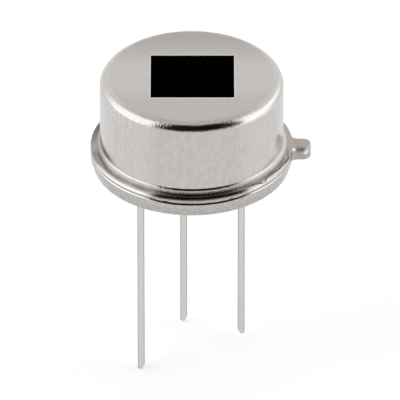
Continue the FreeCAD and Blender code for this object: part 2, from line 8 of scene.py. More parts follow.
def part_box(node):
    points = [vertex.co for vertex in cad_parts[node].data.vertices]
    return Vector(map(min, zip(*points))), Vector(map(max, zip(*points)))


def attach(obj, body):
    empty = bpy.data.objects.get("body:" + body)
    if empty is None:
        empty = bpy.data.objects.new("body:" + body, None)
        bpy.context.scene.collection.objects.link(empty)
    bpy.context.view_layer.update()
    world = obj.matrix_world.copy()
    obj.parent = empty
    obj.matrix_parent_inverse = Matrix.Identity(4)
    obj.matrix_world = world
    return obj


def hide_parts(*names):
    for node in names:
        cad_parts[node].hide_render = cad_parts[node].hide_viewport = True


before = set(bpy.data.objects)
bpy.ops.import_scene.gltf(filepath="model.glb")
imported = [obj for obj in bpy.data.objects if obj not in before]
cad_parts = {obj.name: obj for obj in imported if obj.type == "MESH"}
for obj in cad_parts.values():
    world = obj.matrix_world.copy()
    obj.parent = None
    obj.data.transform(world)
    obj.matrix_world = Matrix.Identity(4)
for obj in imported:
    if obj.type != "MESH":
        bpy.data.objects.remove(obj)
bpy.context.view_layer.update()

# The looks of a round motion sensor: a plated can and header with a finer form,
# black filter, pale wires and glass seals, on a pale floor in a white studio.
# Lengths are in millimetres, which MM turns into metres, and angles in degrees.

MM = 0.001
ROOT = "root"


def box_mm(node):
    """Lowest and highest corner of a CAD node, in millimetres."""
    low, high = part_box(node)
    return low / MM, high / MM


# Sizes from the boxes of the CAD's can and header, to the nearest micrometre
can_low, can_high = box_mm("can")
header_low, header_high = box_mm("header")
CAN_TOP = round(can_high.z, 3)
HEADER_TOP = round(can_low.z, 3)
HEADER_RADIUS = round(-header_low.x, 3)
TAB_LENGTH = round(header_high.x - HEADER_RADIUS, 3)

# Viewpoint
VIEW_ELEVATION = 33.25
VIEW_DISTANCE = 500.0
VIEW_AIM = (0.375, 0.0, -2.05)
VIEW_WIDTH = 18.06
SENSOR_WIDTH = 36.0
NEAREST_SEEN = 10.0
FARTHEST_SEEN = 10000.0

# Can sizes that its box doesn't give
CAN_RADIUS = 4.125
SHOULDER_RADIUS = 0.5
FOOT_RADIUS = 0.175
FOOT_TURN = 62.0
FOOT_HEIGHT = 0.305
FLANGE_SLOPE = 0.03
FLANGE_EDGE = 0.1
FLANGE_BREAK = 45.0
FLANGE_CORNER = 0.004
OPENING_LENGTH = 3.74
OPENING_WIDTH = 3.48
OPENING_MIDDLE = (0.035, -0.04)
OPENING_BEVEL = 0.012
LIP = 0.08
CAN_CREASE = 40.0

# A narrow band beside a curve keeps the curve's shading off the next face
GUARD = 0.02

# Header sizes that its box doesn't give
RIM_THICKNESS = 0.6
RIM_BOTTOM = HEADER_TOP - RIM_THICKNESS
RIM_LOWER_EDGE = 0.03
UNDER_RIM = HEADER_RADIUS - RIM_LOWER_EDGE - GUARD
RIM_EDGE = 0.003
RIM_ROLL = 0.6
RIM_ROLL_TURN = 35.0
RIM_BACK_EDGE = 0.07
BODY_TAPER = 0.12
BODY_BEVEL = 0.04
SEAL_RADIUS = 0.6
BRAZE_RADIUS = 0.3
TAB_WIDTH = 0.88
TAB_CORNER = 0.38
TAB_ROOT = 0.28
TAB_EDGE = 0.24
TAB_REAR_SHARE = 0.25
HEADER_CREASE = 22.0

# Dark line round the rim, a little higher at the sides than in front
RIM_LINE_TOP = 0.735
RIM_LINE_DEPTH = 0.042
RIM_LINE_FLANK = 0.09
RIM_LINE_HEIGHT = 0.105
RIM_LINE_CLEAR = 0.01
RIM_LINE_RISE = 0.06
RIM_LINE_SIDES = (1.0, 2.6)
RIM_LINE_MIDDLE = 0.3

# The rim's side goes up in rows of places. These rows are its line's, and those
# above it keep at least this gap.
LINE_ROWS = (2, 3, 4)
ROW_GAP = 0.004

# Where the rim's roll ends towards the rear, where the tab's upper edge turns
# crisp towards the rear, and where the rim turns into the tab
ROLL_FADE = (-2.8, -0.8)
TAB_EDGE_FADE = (-0.2, 0.2)
TAB_FADE = (HEADER_RADIUS - 0.05, HEADER_RADIUS + 0.2)

# Steps of the curves
ROUND_STEPS = 360
RIM_STEPS = 330
BORE_STEPS = 48
SHOULDER_STEPS = 24
FOOT_STEPS = 16
CORNER_STEPS = 12
ROLL_STEPS = 10
RIM_EDGE_STEPS = 4

# Places closer than this are one, in millimetres for a plate and metres for a piece
PLATE_TOLERANCE = 1e-7
WELD_DISTANCE = 1e-7

# Noise: grains a millimetre along each axis, detail and the detail's roughness
STREAKS = ((6, 6, 2.6), 4.0, 0.6)
CAN_GRAIN = ((14, 14, 14), 2.0, 0.6)
HEADER_GRAIN = ((9, 9, 9), 3.0, 0.6)
RIPPLE = ((12, 12, 8), 2.0, 0.6)
BLOTCHES = ((1.3, 1.3, 1.3), 3.0, 0.6)
SEAM_WAVE = ((1.5, 1.5, 1.5), 1.0, 0.4)
WIRE_GRAIN = ((14, 14, 2), 3.0, 0.6)
FILTER_GRAIN = ((3, 3, 3), 2.0, 0.5)
INNER_DETAIL = (3.0, 0.6)

# The part of a noise's values that goes from a dark to a light colour
SOFT_SPAN = (0.3, 0.7)
STEEP_SPAN = (0.35, 0.65)

# Relief: strength, and depth in millimetres
CAN_RELIEF = (0.6, 0.012)
HEADER_RELIEF = (0.5, 0.012)
WIRE_RELIEF = (0.2, 0.005)
INNER_RELIEF = (0.3, 0.004)

# A zone of a finish is a list of bounds. Each bound names a measure, where along
# it the zone starts and where it is full. The functions below whose names end in
# "measures" say what the measures are.

# Zones of the can. Low on its left are a painted dark reflection on the wall and a
# darker patch on the foot, and on both flanks a painted highlight band at the shoulder's foot.
CAN_FLAT = [("z", CAN_TOP - 0.02, CAN_TOP - 0.005)]
# Painted shade on the flat's rear and front
FLAT_REAR_SHADE = [("y", 0.4, 3.6)]
FLAT_FRONT_SHADE = [("y", -0.6, -2.4)]
# Thin painted highlight round the opening
OPENING_HIGHLIGHT = [("past", 0.065, 0.05)]
# Painted sheen on the wall's flanks
LIT_FLANKS = [("aside", 1.5, 2.6)]
DARK_REFLECTION = [("z", 1.2, 1.28), ("z", 1.72, 1.42), ("x", -3.35, -3.9)]
SHOULDER_HIGHLIGHT = [("raised", 4.12, 4.2), ("z", 4.36, 4.28), ("aside", 1.5, 2.6), ("off_axis", 3.85, 3.3)]
SHOULDER_HIGHLIGHT_LEFT = [("x", 1.0, -1.0)]
DARK_LEFT_FOOT = [("z", HEADER_TOP + 0.22, HEADER_TOP + 0.15), ("x", -3.6, -4.05)]
# Painted light on the wall beside the tab, over its dark reflection of the tab
WALL_BY_TAB = [("x", 3.4, 3.8), ("z", 2.4, 1.6)]
FOOT_SIDES = [("z", HEADER_TOP + 0.4, HEADER_TOP + 0.25), ("off_axis", 1.4, 2.4)]
FLANGE_SIDE = [("z", HEADER_TOP + 0.14, HEADER_TOP + 0.1)]
RIPPLED = [("off_front", 0.7, 1.5)]
CALM = [("off_front", 1.7, 2.3)]

# The painted highlight round the opening is wider in front and behind than beside it, and the
# painted highlight at the shoulder's foot starts higher on the left
RING_SHARE = 0.6
SHOULDER_HIGHLIGHT_LIFT = 0.09
WALL_MIDDLE = 0.2
FRONT_MIDDLE = 0.25

# Colours of the can, the tone that multiplies them on the flat and on the wall,
# and what zones and streaks add to that tone
CAN_COLOURS = ((0.56, 0.535, 0.51, 1), (0.61, 0.585, 0.56, 1))
FLAT_TONE = 1.24
# Painted shade on the flat's rear and front
FLAT_REAR_SHADE_TONE = -0.3
FLAT_FRONT_SHADE_TONE = -0.13
# Painted highlight round the opening
OPENING_HIGHLIGHT_TONE = 0.24
WALL_TONE = 1.075
# Painted sheen on the wall's flanks
LIT_FLANK_TONE = 0.12
STREAK_TONE = 0.25
# Painted dark reflection low on the wall's left
DARK_REFLECTION_TONE = -0.65
# Painted highlight at the shoulder's foot
SHOULDER_HIGHLIGHT_TONE = 0.4
# Darker low on the left foot
DARK_LEFT_FOOT_TONE = -0.45
# Painted light on the wall beside the tab
BY_TAB_LIGHT_TONE = 0.14

# Roughness of the plating, and what grain and zones add to it
PLATE_ROUGHNESS = 0.12
GRAIN_ROUGHNESS = 0.06
FLAT_ROUGHNESS = 0.3
BY_TAB_ROUGHNESS = 0.25
FOOT_ROUGHNESS = 0.14
FLANGE_ROUGHNESS = 0.12
TAB_ROUGHNESS = 0.42

# Height of the plating's relief: the grain's part, and what zones add to its gain
CAN_GRAIN_HEIGHT = 0.5
HEADER_GRAIN_HEIGHT = 0.4
RIPPLED_GAIN = 0.8
CALM_GAIN = -1.35
FLAT_GAIN = -0.7

# Zones of the header. GLINT_ABOVE and GLINT_BELOW are painted highlights beside the
# rim's line, the line itself gets painted shade, and SEAM is a thin brown line round the flat at
# the front right.
HEADER_FLAT = [("z", HEADER_TOP - 0.1, HEADER_TOP - 0.03)]
ON_TAB = [("x", HEADER_RADIUS - 0.1, HEADER_RADIUS + 0.1)]
ON_BODY = [("z", RIM_BOTTOM + 0.02, RIM_BOTTOM - 0.01)]
REAR_LEFT = [("y", -0.3, 1.3), ("x", -3.4, -4.0)]
RIM_BY_TAB = [("x", 3.7, 4.3), ("y", -1.6, -0.8)]
GLINT_ABOVE = [("line", 0.75, 0.77), ("line", 0.87, 0.84)]
GLINT_BELOW = [("line", 0.6, 0.62), ("line", 0.69, 0.67)]
GLINT_SIDES = [("aside", 1.7, 2.4), ("y", -0.9, -1.9)]
GLINT_RIGHT = [("x", 0.0, 3.0)]
# Painted shade in the rim's line
LINE_SHADE = [("line", RIM_LINE_TOP - 0.07, RIM_LINE_TOP - 0.05),
           ("line", RIM_LINE_TOP + 0.005, RIM_LINE_TOP - 0.01)]
SEAM = [("seam", 0.045, 0.02), ("z", HEADER_TOP - 0.12, HEADER_TOP - 0.08), ("x", 2.2, 2.6),
        ("y", -0.2, -0.9)]
SEAM_RADIUS = 4.4
SEAM_SWAY = 0.45

# Colours of the header, and the share of each tint
RIM_COLOURS = ((0.53, 0.5, 0.47, 1), (0.65, 0.62, 0.59, 1))
BODY_COLOURS = ((0.48, 0.455, 0.43, 1), (0.61, 0.58, 0.555, 1))
BROWN_COLOURS = ((0.36, 0.32, 0.285, 1), (0.47, 0.43, 0.395, 1))
REAR_LEFT_COLOUR = (0.16, 0.14, 0.125, 1)
REAR_LEFT_SHARE = 0.8
BY_TAB_COLOUR = (0.58, 0.53, 0.48, 1)
BY_TAB_SHARE = 0.6
TAB_COLOUR = (0.7, 0.65, 0.6, 1)
TAB_SHARE = 0.5
GLINT_COLOUR = (1.0, 0.99, 0.98, 1)
GLINT_SHARE = 0.85
GLINT_RIGHT_SHARE = -0.5
# Painted shade in the rim's line
LINE_SHADE_COLOUR = (0.1, 0.09, 0.08, 1)
LINE_SHADE_SHARE = 0.75
SEAM_COLOUR = (0.1, 0.06, 0.045, 1)
SEAM_SHARE = 0.8

# Painted highlights on the tab and at its foot: place and size
TAB_HIGHLIGHTS = (((5.15, -0.42, 0.8), 0.17), ((4.64, -0.47, 1.0), 0.145))
SPOT_HIGHLIGHT_COLOUR = (1.0, 0.99, 0.97, 1)

# Wires and filter. A wire's flanks, where it faces left or right, get painted shade.
WIRE_COLOURS = ((0.72, 0.75, 0.7, 1), (0.78, 0.81, 0.755, 1))
WIRE_FLANK_SHADE_COLOUR = (0.49, 0.49, 0.46, 1)
WIRE_FLANKS = (0.5, 0.92)
WIRE_ROUGHNESS = 0.35
FILTER_COLOURS = ((0.0005, 0.0005, 0.0006, 1), (0.0009, 0.0009, 0.001, 1))
FILTER_ROUGHNESS = 0.6

# Materials in and under the can: dark and light tone, metallic share, roughness
# and grains a millimetre
INNER_LOOKS = {
    "seal_glass": ((0.03, 0.045, 0.06), (0.06, 0.08, 0.1), 0.0, 0.08, 5.0),
    "braze": ((0.55, 0.43, 0.29), (0.68, 0.56, 0.41), 1.0, 0.25, 9.0),
    "epoxy": ((0.02, 0.02, 0.02), (0.045, 0.045, 0.045), 0.0, 0.5, 7.0),
    "ceramic": ((0.8, 0.79, 0.75), (0.88, 0.87, 0.83), 0.0, 0.6, 14.0),
    "film_metal": ((0.62, 0.6, 0.54), (0.76, 0.74, 0.68), 1.0, 0.35, 16.0),
    "solder": ((0.55, 0.55, 0.55), (0.66, 0.66, 0.66), 1.0, 0.2, 6.0),
    "adhesive": ((0.42, 0.42, 0.4), (0.58, 0.58, 0.56), 0.0, 0.45, 12.0),
    "electrode": ((0.25, 0.24, 0.22), (0.34, 0.33, 0.31), 1.0, 0.3, 14.0),
    "element": ((0.54, 0.5, 0.36), (0.66, 0.62, 0.48), 0.0, 0.5, 14.0),
    "moulding": ((0.02, 0.02, 0.02), (0.05, 0.05, 0.05), 0.0, 0.55, 16.0),
    "tinned": ((0.55, 0.55, 0.55), (0.66, 0.66, 0.66), 1.0, 0.3, 12.0),
    "resistor": ((0.045, 0.045, 0.055), (0.08, 0.08, 0.09), 0.0, 0.25, 14.0),
}
INNER_GRAIN_ROUGHNESS = 0.1

# Material of each piece in and under the can
INNER_PIECES = {
    "window_bead": "epoxy",
    "drain_glass_seal": "seal_glass", "source_glass_seal": "seal_glass",
    "ground_braze": "braze",
    "ceramic_board": "ceramic", "board_tracks": "film_metal",
    "drain_solder": "solder", "source_solder": "solder", "ground_solder": "solder",
    "left_element_support": "ceramic", "right_element_support": "ceramic",
    "left_adhesive_pad": "adhesive", "right_adhesive_pad": "adhesive",
    "left_rear_electrode": "electrode", "right_rear_electrode": "electrode",
    "pyro_element": "element", "front_electrodes": "electrode",
    "transistor_body": "moulding", "transistor_gate_leg": "tinned",
    "transistor_drain_leg": "tinned", "transistor_source_leg": "tinned",
    "gate_resistor": "resistor", "resistor_gate_terminal": "tinned",
    "resistor_ground_terminal": "tinned",
}

# Floor. It glows a little, and more so towards the camera.
FLOOR_REACH = 1500.0
FLOOR_GAP = 0.01
FLOOR_COLOUR = (0.9, 0.9, 0.9, 1)
FLOOR_GLOW = 0.25
FLOOR_SEEN_GLOW = 0.19

# Studio: white, a little grey behind and high up, with a bright beam on both
# sides of a dark patch. The patch is turned from the camera towards the tab. The
# beam climbs towards the patch and sinks towards the tab.
WHITE = (1.0, 1.0, 1.0, 1)
REAR_COLOUR = (0.82, 0.82, 0.82, 1)
REAR = [("elevation", -15.0, 5.0), ("y", -0.1, 0.3)]
HIGH_COLOUR = (0.66, 0.66, 0.66, 1)
HIGH = [("elevation", 38.0, 60.0)]
BEAM_COLOUR = (1.38, 1.43, 1.48, 1)
BEAM = [("facing", 0.72, 0.6), ("facing", -0.85, -0.35), ("off_beam", 36.0, 16.0)]
BEAM_ELEVATION = 18.5
BEAM_CLIMB = 28.0
BEAM_SINK = -12.5
DARK_COLOUR = (0.007, 0.007, 0.007, 1)
DARK = [("elevation", -12.0, 17.0), ("elevation", 79.0, 63.0),
        ("facing", math.cos(math.radians(60)), math.cos(math.radians(50)))]
DARK_AZIMUTH = 9.0

# Keeps the division by a direction's flat length finite straight up and down
LEAST_LENGTH = 0.001


def point(x, y, z):
    """A place in metres from millimetres."""
    return Vector((x, y, z)) * MM


def weld(mesh):
    """Join vertices that lie on each other."""
    work = bmesh.new()
    work.from_mesh(mesh)
    bmesh.ops.remove_doubles(work, verts=work.verts, dist=WELD_DISTANCE)
    bmesh.ops.recalc_face_normals(work, faces=work.faces)
    work.to_mesh(mesh)
    work.free()


def finish_piece(name, places, faces, node, material, crease):
    """Make a welded piece that rides on the body and stands for a CAD node.

    Edges sharper than the crease angle stay crisp, and the rest is shaded smooth.
    """
    mesh = bpy.data.meshes.new(name)
    mesh.from_pydata([point(*place) for place in places], [], faces)
    mesh.validate()
    mesh.update()
    piece = bpy.data.objects.new(name, mesh)
    bpy.context.scene.collection.objects.link(piece)
    mesh.materials.append(material)
    for face in mesh.polygons:
        face.use_smooth = True
    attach(piece, ROOT)
    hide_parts(node)
    weld(mesh)
    mesh.set_sharp_from_angle(angle=math.radians(crease))


def arc(centre_x, centre_z, radius, start, end, steps):
    """Points of a profile's arc, from one angle to another."""
    turns = [math.radians(start + (end - start) * step / steps) for step in range(steps + 1)]
    return [(centre_x + radius * math.cos(turn), centre_z + radius * math.sin(turn))
            for turn in turns]


def smooth_step(value, low, high):
    """0 below low and 1 above high, with a soft step between."""
    share = min(max((value - low) / (high - low), 0.0), 1.0)
    return share * share * (3 - 2 * share)


def between(first, second, share):
    """A place part of the way from one place to another."""
    return tuple(low + (high - low) * share for low, high in zip(first, second))


def circle_loop(radius, x=0.0, y=0.0, steps=ROUND_STEPS):
    """Flat loop of a circle."""
    return [(x + radius * math.cos(math.tau * step / steps),
             y + radius * math.sin(math.tau * step / steps)) for step in range(steps)]


def lathe(profile):
    """Places and faces of a profile turned about the upright axis."""
    places = []
    for step in range(ROUND_STEPS):
        turn = math.tau * step / ROUND_STEPS
        places += [(radius * math.cos(turn), radius * math.sin(turn), height)
                   for radius, height in profile]
    faces = []
    count = len(profile)
    for step in range(ROUND_STEPS):
        here = step * count
        there = (step + 1) % ROUND_STEPS * count
        faces += [(here + index, there + index, there + index + 1, here + index + 1)
                  for index in range(count - 1)]
    return places, faces


def ring_faces(count, rows):
    """Faces between closed rows of places, with as many places in each row."""
    return [(row * count + index, row * count + (index + 1) % count,
             (row + 1) * count + (index + 1) % count, (row + 1) * count + index)
            for row in range(rows - 1) for index in range(count)]


def inside(spot, loop):
    """Whether a flat spot lies inside a closed loop."""
    within = False
    for index, (x, y) in enumerate(loop):
        last_x, last_y = loop[index - 1]
        if (y > spot.y) != (last_y > spot.y):
            cross = (last_x - x) * (spot.y - y) / (last_y - y) + x
            within = within != (spot.x < cross)
    return within


def plate(outer, holes, height, upward):
    """Flat region between an outline and its holes, as triangles."""
    loops = [outer] + holes
    flat = [Vector(spot) for loop in loops for spot in loop]
    edges = []
    start = 0
    for loop in loops:
        edges += [(start + index, start + (index + 1) % len(loop)) for index in range(len(loop))]
        start += len(loop)
    spots, _, triangles, _, _, _ = geometry.delaunay_2d_cdt(flat, edges, [], 0, PLATE_TOLERANCE)
    places = [(spot.x, spot.y, height) for spot in spots]
    faces = []
    for triangle in triangles:
        middle = sum((spots[index] for index in triangle), Vector((0, 0))) / 3
        if inside(middle, outer) and not any(inside(middle, hole) for hole in holes):
            faces.append(tuple(triangle) if upward else tuple(reversed(triangle)))
    return places, faces


def joined(parts):
    """One list of places and one of faces from several parts."""
    places = []
    faces = []
    for part_places, part_faces in parts:
        shift = len(places)
        places += part_places
        faces += [tuple(index + shift for index in face) for face in part_faces]
    return places, faces


def opening_corners(grow):
    """Corners of the window's opening, moved outwards."""
    middle_x, middle_y = OPENING_MIDDLE
    half_x = OPENING_LENGTH / 2 + grow
    half_y = OPENING_WIDTH / 2 + grow
    return [(middle_x - half_x, middle_y - half_y), (middle_x + half_x, middle_y - half_y),
            (middle_x + half_x, middle_y + half_y), (middle_x - half_x, middle_y + half_y)]


def can_profile():
    """Shoulder, wall, foot and flange of the can, from its flat top down."""
    shoulder = CAN_RADIUS - SHOULDER_RADIUS
    shoulder_z = CAN_TOP - SHOULDER_RADIUS
    foot_x = CAN_RADIUS + FOOT_RADIUS
    foot_z = HEADER_TOP + FOOT_HEIGHT
    turn = math.radians(FOOT_TURN)
    slope_x = foot_x - FOOT_RADIUS * math.cos(turn) + FLANGE_SLOPE * math.sin(turn)
    slope_z = foot_z - FOOT_RADIUS * math.sin(turn) - FLANGE_SLOPE * math.cos(turn)
    edge_x = slope_x - FLANGE_EDGE * math.cos(turn)
    edge_z = slope_z - FLANGE_EDGE * math.sin(turn)
    profile = [(shoulder - GUARD, CAN_TOP)]
    profile += arc(shoulder, shoulder_z, SHOULDER_RADIUS, 90, 0, SHOULDER_STEPS)
    profile += [(CAN_RADIUS, shoulder_z - GUARD), (CAN_RADIUS, foot_z + GUARD)]
    profile += arc(foot_x, foot_z, FOOT_RADIUS, 180, 180 + FOOT_TURN, FOOT_STEPS)
    profile += arc(edge_x, edge_z, FLANGE_EDGE, FOOT_TURN, FLANGE_BREAK, CORNER_STEPS)
    side_x, side_z = profile[-1]
    return profile + [(side_x, side_z - FLANGE_CORNER), (side_x, HEADER_TOP)]


def make_can(material):
    """Drawn can with its window opening, rounded shoulder, foot and flange."""
    profile = can_profile()
    flat_radius = profile[0][0]
    cover = plate(circle_loop(flat_radius), [opening_corners(OPENING_BEVEL)], CAN_TOP, True)
    levels = [(OPENING_BEVEL, CAN_TOP), (0.0, CAN_TOP - OPENING_BEVEL), (0.0, CAN_TOP - LIP)]
    opening = [(x, y, height) for grow, height in levels for x, y in opening_corners(grow)]
    places, faces = joined([lathe(profile), cover, (opening, ring_faces(4, len(levels)))])
    finish_piece("can_shell", places, faces, "can", material, CAN_CREASE)


def tab_outline(inset):
    """Outline of the rim with its tab, moved inwards by an inset, anticlockwise."""
    disc = HEADER_RADIUS - inset
    half = TAB_WIDTH / 2 - inset
    tip = HEADER_RADIUS + TAB_LENGTH - inset
    corner = TAB_CORNER - inset
    root = TAB_ROOT + inset
    root_y = half + root
    root_x = math.sqrt((disc + root) ** 2 - root_y ** 2)
    root_turn = math.degrees(math.atan2(root_y, root_x))
    return (arc(0, 0, disc, root_turn, 360 - root_turn, RIM_STEPS)
            + arc(root_x, -root_y, root, 180 - root_turn, 90, CORNER_STEPS)
            + arc(tip - corner, -half + corner, corner, -90, 0, CORNER_STEPS)
            + arc(tip - corner, half - corner, corner, 0, 90, CORNER_STEPS)
            + arc(root_x, root_y, root, -90, root_turn - 180, CORNER_STEPS))


def upper_edge(radius, steps):
    """Inset and height of each row of a quarter-round upper edge."""
    return [(radius - x, z) for x, z in arc(0, HEADER_TOP - radius, radius, 0, 90, steps)]


def rolled_edge():
    """Inset and height of each row of the rim's rolled upper edge, above its line."""
    roll = math.radians(RIM_ROLL_TURN)
    roll_top = HEADER_TOP - RIM_EDGE * (1 - math.sin(roll))
    rows = [(RIM_ROLL - x, z) for x, z in
            arc(0, roll_top - RIM_ROLL * math.sin(roll), RIM_ROLL, 0, RIM_ROLL_TURN, ROLL_STEPS)
            if z > RIM_LINE_TOP + RIM_LINE_CLEAR]
    edge_inset = RIM_ROLL * (1 - math.cos(roll)) + RIM_EDGE * math.cos(roll)
    return rows + [(edge_inset - x, z) for x, z in
                   arc(0, HEADER_TOP - RIM_EDGE, RIM_EDGE, RIM_ROLL_TURN, 90, RIM_EDGE_STEPS)]


def rim_rows():
    """Inset and height of each row of the rim's side: in front, behind and on the tab."""
    line_low = RIM_LINE_TOP - RIM_LINE_HEIGHT
    lower = [(RIM_LOWER_EDGE, RIM_BOTTOM), (0.0, RIM_BOTTOM + RIM_LOWER_EDGE)]
    line = [(0.0, line_low), (RIM_LINE_DEPTH, line_low + RIM_LINE_FLANK), (0.0, RIM_LINE_TOP)]
    plain = [(0.0, z) for _, z in line]
    rolled = rolled_edge()
    steps = len(rolled) - 1
    return (lower + line + rolled, lower + line + upper_edge(RIM_BACK_EDGE, steps),
            lower + plain + upper_edge(TAB_EDGE, steps))


def rim_place(row, front, back, tab, flat):
    """A place of the rim's side, from where it is in front, behind and on the tab."""
    x, y = flat
    rim_x, rim_y, rim_z = between(front, back, smooth_step(y, *ROLL_FADE))
    rise = RIM_LINE_RISE * smooth_step(abs(x - RIM_LINE_MIDDLE), *RIM_LINE_SIDES)
    above_line = row - LINE_ROWS[-1]
    crisp = 0.0
    if row in LINE_ROWS:
        rim_z += rise
    elif above_line > 0:
        rim_z = max(rim_z, RIM_LINE_TOP + rise + ROW_GAP * above_line)
        crisp = (1 - TAB_REAR_SHARE) * smooth_step(y, *TAB_EDGE_FADE)
    tab = between(tab, (x, y, HEADER_TOP), crisp)
    return between((rim_x, rim_y, rim_z), tab, smooth_step(x, *TAB_FADE))


def rim_parts():
    """Side, flat top and underside of the rim with its tab."""
    rows = rim_rows()
    flat_outline = tab_outline(0.0)
    places = []
    for row, levels in enumerate(zip(*rows)):
        outlines = [[(x, y, z) for x, y in tab_outline(inset)] for inset, z in levels]
        places += [rim_place(row, *spots) for spots in zip(*outlines, flat_outline)]
    count = len(flat_outline)
    side = (places, ring_faces(count, len(rows[0])))
    top = plate([(x, y) for x, y, z in places[-count:]], [], HEADER_TOP, True)
    underside = plate(tab_outline(RIM_LOWER_EDGE), [circle_loop(UNDER_RIM)], RIM_BOTTOM, False)
    return [side, top, underside]


def lead_middle(node):
    """Axis of a lead, in millimetres."""
    low, high = box_mm(node)
    return (low.x + high.x) / 2, (low.y + high.y) / 2


def body_parts():
    """Tapered side and bottom of the header's body, and the bores of the leads."""
    lower = HEADER_RADIUS - BODY_TAPER
    side = lathe([(UNDER_RIM, RIM_BOTTOM), (lower, BODY_BEVEL), (lower - BODY_BEVEL, 0.0)])
    radii = {"drain_lead": SEAL_RADIUS, "source_lead": SEAL_RADIUS, "ground_lead": BRAZE_RADIUS}
    bores = [circle_loop(radius, *lead_middle(node), BORE_STEPS)
             for node, radius in radii.items()]
    bottom = plate(circle_loop(lower - BODY_BEVEL), bores, 0.0, False)
    tubes = [([(x, y, level) for level in (0.0, HEADER_TOP) for x, y in bore],
              ring_faces(BORE_STEPS, 2)) for bore in bores]
    return [side, bottom] + tubes


def make_header(material):
    """Header: rim with a tab, tapered body below it and the bores of the leads."""
    places, faces = joined(rim_parts() + body_parts())
    finish_piece("header_plate", places, faces, "header", material, HEADER_CREASE)


class Graph:
    """Short calls for a material's or the world's nodes."""

    def __init__(self, tree):
        self.tree = tree
        tree.nodes.clear()

    def node(self, kind, **settings):
        """New node with some settings."""
        made = self.tree.nodes.new(kind)
        for key, setting in settings.items():
            setattr(made, key, setting)
        return made

    def link(self, source, target):
        """Join an output to an input."""
        self.tree.links.new(source, target)

    def put(self, socket, source):
        """Give a socket a number, a colour or another node's output."""
        if isinstance(source, bpy.types.NodeSocket):
            self.link(source, socket)
        else:
            socket.default_value = source

    def math(self, operation, *sources):
        """Result of an operation on numbers or outputs."""
        made = self.node("ShaderNodeMath", operation=operation)
        for socket, source in zip(made.inputs, sources):
            self.put(socket, source)
        return made.outputs[0]

    def product(self, first, *others):
        """All sources multiplied."""
        for other in others:
            first = self.math("MULTIPLY", first, other)
        return first

    def total(self, base, *effects):
        """A base value plus each effect's mask times its amount."""
        for mask, amount in effects:
            base = self.math("ADD", base, self.product(mask, amount))
        return base

    def minus(self, first, second):
        """One source less another."""
        return self.math("SUBTRACT", first, second)

    def away(self, source, middle):
        """How far a value is from a middle."""
        return self.math("ABSOLUTE", self.minus(source, middle))

    def length(self, x, y):
        """Length of a flat vector."""
        return self.math("SQRT", self.total(self.product(x, x), (y, y)))

    def smooth(self, source, low, high):
        """0 below low and 1 above high, with a soft step between."""
        made = self.node("ShaderNodeMapRange", interpolation_type="SMOOTHSTEP")
        self.put(made.inputs["Value"], source)
        self.put(made.inputs["From Min"], low)
        self.put(made.inputs["From Max"], high)
        return made.outputs["Result"]

    def zone(self, measures, bounds):
        """Mask that is 1 where all bounds of a zone are full."""
        return self.product(*[self.smooth(measures[name], start, full)
                              for name, start, full in bounds])

    def mix(self, factor, first, second):
        """Colour between two colours."""
        made = self.node("ShaderNodeMix", data_type="RGBA")
        self.put(made.inputs[0], factor)
        self.put(made.inputs[6], first)
        self.put(made.inputs[7], second)
        return made.outputs[2]

    def grained(self, noise, span, colours):
        """Colour between a dark and a light one, by noise."""
        return self.mix(self.smooth(noise, *span), *colours)

    def tinted(self, colour, mask, share, tint):
        """Colour with a share of a tint where a mask is 1."""
        return self.mix(self.product(mask, share), colour, tint)

    def scaled(self, colour, level):
        """Colour times a level."""
        made = self.node("ShaderNodeVectorMath", operation="SCALE")
        self.put(made.inputs[0], colour)
        self.put(made.inputs["Scale"], level)
        return made.outputs[0]

    def place(self, scale=(1, 1, 1)):
        """Object coordinates in millimetres, scaled by direction."""
        mapping = self.node("ShaderNodeMapping")
        self.link(self.node("ShaderNodeTexCoord").outputs["Object"], mapping.inputs["Vector"])
        mapping.inputs["Scale"].default_value = [size / MM for size in scale]
        return mapping.outputs["Vector"]

    def split(self, vector):
        """The three parts of a vector, by name."""
        made = self.node("ShaderNodeSeparateXYZ")
        self.link(vector, made.inputs[0])
        return dict(zip("xyz", made.outputs))

    def noise(self, grains, detail, roughness):
        """Noise with so many grains a millimetre along each axis."""
        made = self.node("ShaderNodeTexNoise")
        self.link(self.place(grains), made.inputs["Vector"])
        made.inputs["Scale"].default_value = 1.0
        made.inputs["Detail"].default_value = detail
        made.inputs["Roughness"].default_value = roughness
        return made.outputs["Fac"]

    def bump(self, height, strength, depth):
        """Normal of a relief whose depth is in millimetres."""
        made = self.node("ShaderNodeBump")
        made.inputs["Strength"].default_value = strength
        made.inputs["Distance"].default_value = depth * MM
        self.put(made.inputs["Height"], height)
        return made.outputs["Normal"]

    def principled(self, **sockets):
        """The shader and its output, with values or links by socket name."""
        shader = self.node("ShaderNodeBsdfPrincipled")
        for key, source in sockets.items():
            self.put(shader.inputs[key.replace("_", " ")], source)
        output = self.node("ShaderNodeOutputMaterial")
        self.link(shader.outputs[0], output.inputs["Surface"])


def new_material(name):
    """Empty material and its graph."""
    material = bpy.data.materials.new(name)
    material.use_nodes = True
    return material, Graph(material.node_tree)


def can_measures(graph):
    """What the can's zones go by.

    Apart from x, y and z, past is how far a place is past the opening's edge, aside,
    off_front and off_axis are how far it is to the left or right of the wall's middle,
    its front's middle and the axis, and raised is its height, less on the left.
    """
    measures = graph.split(graph.place())
    x, y, z = measures.values()
    past_x = graph.minus(graph.away(x, OPENING_MIDDLE[0]), OPENING_LENGTH / 2)
    past_y = graph.minus(graph.away(y, OPENING_MIDDLE[1]), OPENING_WIDTH / 2)
    measures["past"] = graph.math("MAXIMUM", past_x, graph.product(past_y, RING_SHARE))
    measures["aside"] = graph.away(x, WALL_MIDDLE)
    measures["off_front"] = graph.away(x, FRONT_MIDDLE)
    measures["off_axis"] = graph.away(x, 0.0)
    lift = graph.product(graph.zone(measures, SHOULDER_HIGHLIGHT_LEFT), SHOULDER_HIGHLIGHT_LIFT)
    measures["raised"] = graph.minus(z, lift)
    return measures


